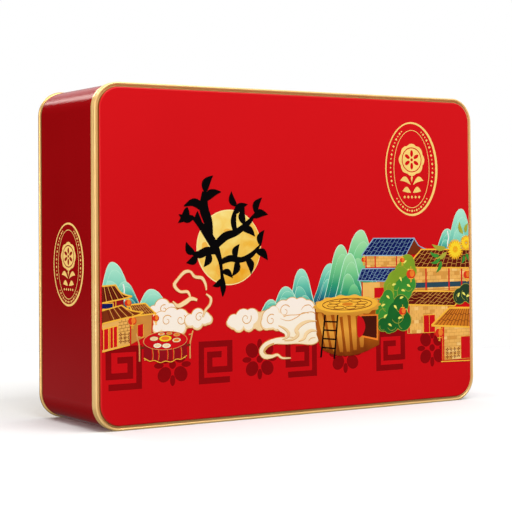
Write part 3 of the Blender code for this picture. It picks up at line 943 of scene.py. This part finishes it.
# ----------------------------------------------------------- table and chairs
table = Print("print_table")
TX, TZ = -102.1, 54.1
hem = [(-117.2, 53.0)] + [(-117.4 + 30.6 * t, 43.4 - 2.6 * math.sin(math.pi * t) + 0.5 * math.cos(8 * math.pi * t)) for t in [k / 30.0 for k in range(31)]] + [(-86.8, 52.4)]
table.fill(hem, RED_DEEP, 12)
for x in (-111.8, -107.6, -101.2, -97.0, -91.4):
    q = smooth([(x, 49.2), (x + 0.4, 45.5), (x + 0.1, 42.0)], 4)
    table.stroke(q, 0.9, RED_INK, 12.3)
    table.stroke([(a + 0.5, b) for a, b in q], 0.22, EDGE, 12.35)
table.stroke(hem[1:-1], 0.5, EDGE, 12.4)
table.fill(ellipse(TX, TZ, 15.7, 5.9, 56), TAN, 12.5)
table.fill(ellipse(TX, TZ, 15.3, 5.6, 56), RED_INK, 12.8)
for x, z, rx, rz, m in ((-102.2, 55.4, 4.4, 1.9, PETAL), (-110.2, 55.6, 2.9, 1.3, CREAM2), (-94.2, 54.0, 3.0, 1.4, CREAM2), (-107.8, 51.2, 2.8, 1.4, CREAM),
                        (-101.4, 50.8, 3.0, 1.4, CREAM), (-94.0, 57.4, 2.4, 1.1, TAN), (-105.0, 58.3, 2.4, 0.9, CREAM2), (-99.4, 58.4, 2.2, 0.9, TAN)):
    table.fill(ellipse(x, z, rx + 0.25, rz + 0.22, 28), ROOF_BROWN, 12.95)
    table.fill(ellipse(x, z, rx, rz, 28), m, 13.1)
    table.fill(ellipse(x, z + 0.1, rx * 0.66, rz * 0.62, 22), ORANGE if m is not CREAM else CREAM2, 13.5)
for s, x in ((1, -120.6), (-1, -84.2)):
    table.stroke([(x - s * 2.0, 59.4), (x, 52.4), (x + s * 0.2, 49.6), (x + s * 0.2, 42.0)], 0.8, TAN, 11.6)
    table.stroke([(x, 50.6), (x + s * 4.2, 50.4)], 1.2, ROOF_BROWN, 11.7)
    table.stroke([(x + s * 4.0, 50.2), (x + s * 4.0, 42.4)], 0.7, TAN, 11.6)
    table.stroke([(x - s * 1.6, 57.4), (x + s * 1.0, 57.0)], 0.7, TAN, 11.7)
table.done()

# --------------------------------------------------------- lanterns, flowers
lanterns = Print("print_lanterns")
for x, z, r in ((-128.2, 78.5, 2.4), (-125.3, 67.1, 2.9), (-108.8, 68.3, 2.3), (93.1, 90.8, 3.9), (144.0, 89.1, 3.3), (85.5, 65.2, 3.1),
                (118.2, 48.6, 3.9), (52.5, 101.6, 2.0), (85.7, 100.7, 2.0)):
    lanterns.stroke([(x, z + r + 1.6), (x, z - r - 0.2)], 0.35, EDGE, 12.8)
    lanterns.fill(ellipse(x, z, r, r * 0.86, 30), LANTERN, 13.2)
    lanterns.fill(ellipse(x + r * 0.25, z + r * 0.1, r * 0.52, r * 0.62, 22), ORANGE, 13.4)
    lanterns.stroke([(x - r * 0.5, z + r * 0.84), (x + r * 0.5, z + r * 0.84)], 0.5, EDGE, 13.6)
    lanterns.stroke([(x - r * 0.5, z - r * 0.84), (x + r * 0.5, z - r * 0.84)], 0.5, EDGE, 13.6)
    for dx in (-0.4, 0.0, 0.4):
        lanterns.stroke([(x + dx, z - r * 0.9), (x + dx * 1.5, z - r * 0.9 - 2.2)], 0.25, EDGE, 13.0)
lanterns.done()

flowers = Print("print_flowers")
for x, z, r in ((133.3, 107.4, 7.4), (143.6, 112.0, 5.6)):
    for ring, cnt, m, w in ((1.0, 22, PETAL2, 0.20), (0.82, 18, PETAL, 0.20), (0.58, 13, PETAL, 0.22), (0.34, 8, PETAL2, 0.22)):
        petals(flowers, x, z, cnt, r * ring * 0.25, r * ring, r * w, m, 12.4 + (1 - ring) * 1.4, 360 / cnt * ring, 12)
for x, z, ln, an, w in ((124.5, 108.6, 12.5, 168, 3.6), (125.0, 105.5, 10.5, 205, 3.0), (118.6, 103.0, 9, 160, 2.6), (119.6, 101.2, 9, 200, 2.6), (120.4, 99.4, 9.5, 240, 2.8),
                        (140.5, 118.5, 9, 110, 3.0), (143.0, 119.4, 7, 70, 2.8), (143.0, 104.0, 7, -60, 2.8), (141.4, 103.0, 6, -110, 2.4)):
    leaf(x, z, ln, an, w, OLIVE if z > 104.5 else GREEN_M, 12.2, flowers, 0.12)
flowers.done()


# ---------------------------------------------------------------- medallions
def medallion(pr, cx, cz, rx, rz, gold, k=1.0):
    """Oval frame, a thin inner ring and a ring of dots; emblem() adds the rosette and leaves."""
    n = 88
    outer, inner = ellipse(cx, cz, rx, rz, n), ellipse(cx - 0.45 * k, cz + 0.1, rx - 1.45 * k, rz - 1.25, n)
    pr.strip(inner, outer, gold, 2, True)
    pr.stroke(ellipse(cx, cz, rx * 0.675, rz * 0.825, 72), 0.42 * k, gold, 1.4, True)
    for a0, a1, m in ((118, 203, 15), (-23, 62, 15), (225, 315, 15)):
        for j in range(m):
            a = math.radians(a0 + (a1 - a0) * j / (m - 1))
            x, z = cx + rx * 0.805 * math.cos(a), cz + rz * 0.895 * math.sin(a)
            q = 0.95 if j % 2 else 0.6
            pr.fill([(x - q * k, z), (x, z - q), (x + q * k, z), (x, z + q)], gold, 1.6)


MED = lacquer("red_panel_inlay", rgb("#d1040e"), rgb("#d4050f"), 0.4, 12.0, spec=0.1)
# The side medallion's red field takes the wall's darker red, the same painted shade as the wall.
MEDS_PAINTED_SHADE = lacquer("red_wall_inlay_painted_shade", rgb("#940408"), rgb("#98050a"), 0.3, 12.0, spec=0.03)


def emblem(pr, cx, cz, rx, rz, gold, field):
    sx, sz = rx / 23.1, rz / 32.8
    medallion(pr, cx, cz, rx, rz, gold, sx)
    P = lambda u, v: (cx + u * sx, cz + v * sz)
    scal = [P((10.3 + 1.0 * abs(math.cos(4 * a))) * math.cos(a), 6.4 + (10.3 + 1.0 * abs(math.cos(4 * a))) * math.sin(a))
            for a in [2 * math.pi * j / 144 for j in range(144)]]
    pr.fill(scal, gold, 2)
    ring = [P(8.4 * math.cos(a), 6.4 + 8.4 * math.sin(a)) for a in [2 * math.pi * j / 60 for j in range(60)]]
    pr.stroke(ring, 0.7, field, 2.6, True)
    for j in range(6):
        a = math.radians(60 * j + 30)
        pet = []
        for t in range(16):
            b = 2 * math.pi * t / 16
            u, v = 4.4 + 2.4 * math.cos(b), 1.3 * math.sin(b)
            pet.append(P(u * math.cos(a) - v * math.sin(a), 6.4 + u * math.sin(a) + v * math.cos(a)))
        pr.fill(pet, field, 2.6)
    pr.fill([P(1.1 * math.cos(b), 6.4 + 1.1 * math.sin(b)) for b in [2 * math.pi * t / 18 for t in range(18)]], field, 2.7)
    for s in (-1, 1):
        lf = [P(s * (0.9 + 9.4 * t), -11.2 + 4.4 * math.sin(math.pi * t) * (1.0 if up else 0.15) + 3.0 * t)
              for up in (1, 0) for t in ([k / 10.0 for k in range(11)] if up else [k / 10.0 for k in range(10, -1, -1)])]
        pr.fill(lf, gold, 2)
        lf = [P(s * (0.9 + 7.2 * t), -16.6 + 3.6 * math.sin(math.pi * t) * (1.0 if up else -0.1) + 1.2 * t)
              for up in (1, 0) for t in ([k / 10.0 for k in range(11)] if up else [k / 10.0 for k in range(10, -1, -1)])]
        pr.fill(lf, gold, 2)
    for u in (-6.4, -3.2, 0.0, 3.2, 6.4):
        pr.fill([P(u - 1.0, -19.6), P(u, -20.7), P(u + 1.0, -19.6), P(u, -18.5)], gold, 1.6)
    pr.fill([P(-0.9, -6.0), P(0, -9.2), P(0.9, -6.0), P(0, -4.6)], gold, 2)


seal = Print("print_medallion_lid")
emblem(seal, 94.9, 164.1, 23.1, 32.8, GOLD_INK, MED)
seal.done()
seal2 = Print("print_medallion_side", on_side, 40.0)
emblem(seal2, 1.8, 101.8, 22.2, 26.5, GOLD_SIDE, MEDS_PAINTED_SHADE)
seal2.done()

# ---------------------------------------------------------- floor and backing
bm = bmesh.new()
bmesh.ops.create_circle(bm, cap_ends=True, segments=96, radius=0.52)
me = bpy.data.meshes.new("floor")
bm.to_mesh(me)
bm.free()
floor = bpy.data.objects.new("floor", me)
bpy.context.scene.collection.objects.link(floor)
fm, nt, bsdf, co = shader("floor_white")
n = noise_node(nt, co, 3.0)
r = ramp_node(nt, [(0.3, (0.76, 0.76, 0.76, 1)), (0.7, (0.78, 0.78, 0.78, 1))])
nt.links.new(n.outputs["Fac"], r.inputs["Fac"])
nt.links.new(r.outputs["Color"], bsdf.inputs["Base Color"])
bsdf.inputs["Roughness"].default_value = 0.9
bsdf.inputs["Specular IOR Level"].default_value = 0.0
me.materials.append(fm)
floor.visible_diffuse = False     # the white sweep doesn't fill or mirror in the tin;
floor.visible_glossy = False      # the world's low band does, as softly as in the photograph
floor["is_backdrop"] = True

# ---------------------------------------------------------------- world light
sc = bpy.context.scene
sc.view_settings.view_transform = "Standard"
sc.view_settings.look = "None"
world = bpy.data.worlds.new("studio")
sc.world = world
world.use_nodes = True
nt = world.node_tree
nt.nodes.clear()
out = nt.nodes.new("ShaderNodeOutputWorld")
mix = nt.nodes.new("ShaderNodeMixShader")
lp = nt.nodes.new("ShaderNodeLightPath")
seen = nt.nodes.new("ShaderNodeBackground")
seen.inputs["Color"].default_value = (1, 1, 1, 1)
seen.inputs["Strength"].default_value = 1.0
lit = nt.nodes.new("ShaderNodeBackground")
tc = nt.nodes.new("ShaderNodeTexCoord")
sep = nt.nodes.new("ShaderNodeSeparateXYZ")
nt.links.new(tc.outputs["Generated"], sep.inputs[0])
mr = nt.nodes.new("ShaderNodeMapRange")        # dim horizon, bright overhead
mr.interpolation_type = "SMOOTHSTEP"
mr.inputs["From Min"].default_value = 0.34
mr.inputs["From Max"].default_value = 0.72
mr.inputs["To Min"].default_value = 0.05
mr.inputs["To Max"].default_value = 0.98
tilt = nt.nodes.new("ShaderNodeMath")
tilt.operation = "MULTIPLY_ADD"
tilt.inputs[1].default_value = 0.25
nt.links.new(sep.outputs["X"], tilt.inputs[0])
nt.links.new(sep.outputs["Z"], tilt.inputs[2])
nt.links.new(tilt.outputs[0], mr.inputs["Value"])
dot = nt.nodes.new("ShaderNodeVectorMath")     # soft fill from the camera's left
dot.operation = "DOT_PRODUCT"
dot.inputs[1].default_value = (-0.55, -0.70, -0.45)
nt.links.new(tc.outputs["Generated"], dot.inputs[0])
mr2 = nt.nodes.new("ShaderNodeMapRange")
mr2.interpolation_type = "SMOOTHSTEP"
mr2.inputs["From Min"].default_value = 0.52
mr2.inputs["From Max"].default_value = 0.95
mr2.inputs["To Min"].default_value = 0.0
mr2.inputs["To Max"].default_value = 0.95
nt.links.new(dot.outputs["Value"], mr2.inputs["Value"])
low = ramp_node(nt, [(0.0, (0.04, 0.04, 0.04, 1)), (0.32, (0.05, 0.05, 0.05, 1)), (0.39, (0.30, 0.30, 0.30, 1)), (0.42, (0.55, 0.55, 0.55, 1)),
                     (0.442, (0.46, 0.46, 0.46, 1)), (0.463, (0.12, 0.12, 0.12, 1)), (0.478, (0.0, 0.0, 0.0, 1)), (1.0, (0.0, 0.0, 0.0, 1))])
half = nt.nodes.new("ShaderNodeMath")
half.operation = "MULTIPLY_ADD"
half.inputs[1].default_value = 0.5
half.inputs[2].default_value = 0.5
nt.links.new(sep.outputs["Z"], half.inputs[0])
nt.links.new(half.outputs[0], low.inputs["Fac"])
dot2 = nt.nodes.new("ShaderNodeVectorMath")    # floor glow, behind and to the left
dot2.operation = "DOT_PRODUCT"
dot2.inputs[1].default_value = (-0.535, 0.845, 0.0)
nt.links.new(tc.outputs["Generated"], dot2.inputs[0])
mr3 = nt.nodes.new("ShaderNodeMapRange")
mr3.interpolation_type = "SMOOTHSTEP"
mr3.inputs["From Min"].default_value = 0.2
mr3.inputs["From Max"].default_value = 0.75
nt.links.new(dot2.outputs["Value"], mr3.inputs["Value"])
glow = nt.nodes.new("ShaderNodeMath")
glow.operation = "MULTIPLY"
nt.links.new(low.outputs["Color"], glow.inputs[0])
nt.links.new(mr3.outputs["Result"], glow.inputs[1])
add0 = nt.nodes.new("ShaderNodeMath")
add0.operation = "ADD"
nt.links.new(mr.outputs["Result"], add0.inputs[0])
nt.links.new(glow.outputs[0], add0.inputs[1])
add = nt.nodes.new("ShaderNodeMath")
add.operation = "ADD"
nt.links.new(add0.outputs[0], add.inputs[0])
nt.links.new(mr2.outputs["Result"], add.inputs[1])
lit.inputs["Color"].default_value = (1, 1, 1, 1)
nt.links.new(add.outputs[0], lit.inputs["Strength"])
nt.links.new(lp.outputs["Is Camera Ray"], mix.inputs[0])
nt.links.new(lit.outputs[0], mix.inputs[1])
nt.links.new(seen.outputs[0], mix.inputs[2])
nt.links.new(mix.outputs[0], out.inputs[0])


def area(name, pos, aim, sx, sy, power, colour=(1, 1, 1)):
    ld = bpy.data.lights.new(name, "AREA")
    ld.shape = "RECTANGLE"
    ld.size, ld.size_y = sx, sy
    ld.energy = power
    ld.color = colour
    lo = bpy.data.objects.new(name, ld)
    lo.location = pos
    d = Vector(aim) - Vector(pos)
    lo.rotation_euler = d.to_track_quat("-Z", "Y").to_euler()
    sc.collection.objects.link(lo)
    return lo


MIDDLE = (0, 0, 0.11)
area("key_front", (0.03, -0.74, 1.12), (0.0, 0.0, 0.12), 1.1, 0.6, 12.9)
area("back_strip", (-0.36, 1.20, 0.93), (-0.14, 0.0, 0.2), 0.30, 0.42, 4.4, (1.0, 0.96, 0.90))
area("back_soft", (0.24, 1.22, 0.80), (-0.10, 0.0, 0.2), 0.80, 0.50, 1.5)
area("left_strip", (-1.35, -0.16, 0.30), (-0.15, -0.04, 0.11), 0.15, 1.0, 5.4, (1.0, 0.97, 0.93))
area("left_soft", (-1.25, 0.20, 0.35), (-0.15, 0.0, 0.11), 0.55, 1.0, 2.1)
area("right_soft", (1.35, -0.05, 0.35), (0.15, 0.0, 0.11), 1.0, 1.0, 5.0)

# --------------------------------------------------------------------- camera
cam_d = bpy.data.cameras.new("camera")
cam = bpy.data.objects.new("camera", cam_d)
sc.collection.objects.link(cam)
right = Vector((0.84479, -0.53504, -0.0075))
up = Vector((-0.0055, -0.0227, 0.99973))
fwd = Vector((0.53507, 0.84452, 0.02212))
back = -fwd
rot = Matrix((right, up, back)).transposed().to_4x4()
cam.matrix_world = Matrix.Translation(Vector((-0.545207, -0.849386, 0.126764))) @ rot
cam_d.sensor_width = 36.0
cam_d.lens = 1465.52 / 512.0 * 36.0
cam_d.shift_y = (191.18 - 256.0) / 512.0
cam_d.clip_end = 50.0
sc.camera = cam

end_bounds = plain(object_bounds())
